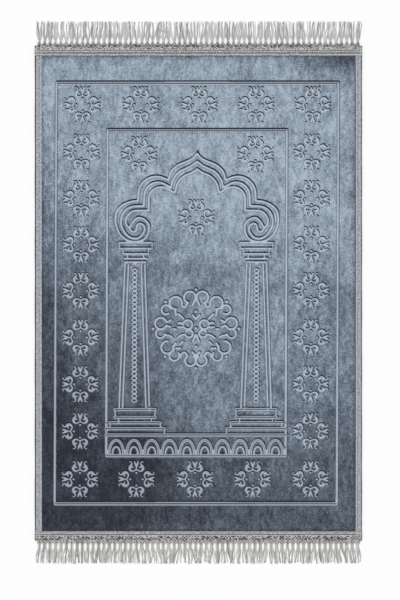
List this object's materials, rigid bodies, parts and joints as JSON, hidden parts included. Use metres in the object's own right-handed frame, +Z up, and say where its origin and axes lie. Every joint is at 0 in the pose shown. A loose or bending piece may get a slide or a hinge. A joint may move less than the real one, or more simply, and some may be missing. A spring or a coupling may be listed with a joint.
{
  "type": "prayer rug",
  "caption": "Flat velvet prayer rug with a pressed arch-and-columns pattern, side binding tapes and a fringed tape at each end.",
  "frame": {"origin": "middle of the underside, on the floor that the rug lies on", "axes": "+Z up, +Y along the rug towards the arch's point, +X to the right"},
  "size_m": [0.8, 1.325, 0.0052],
  "materials": {
    "velvet": "slate blue velvet pile, pressed flat along the pattern",
    "woven_tape": "light grey woven tape, matt",
    "fringe_yarn": "light grey twisted yarn, matt"
  },
  "bodies": {
    "root": {"velvet_panel": "velvet", "binding_left": "woven_tape", "binding_right": "woven_tape", "fringe_head": "fringe_yarn", "fringe_foot": "fringe_yarn"}
  },
  "joints": []
}
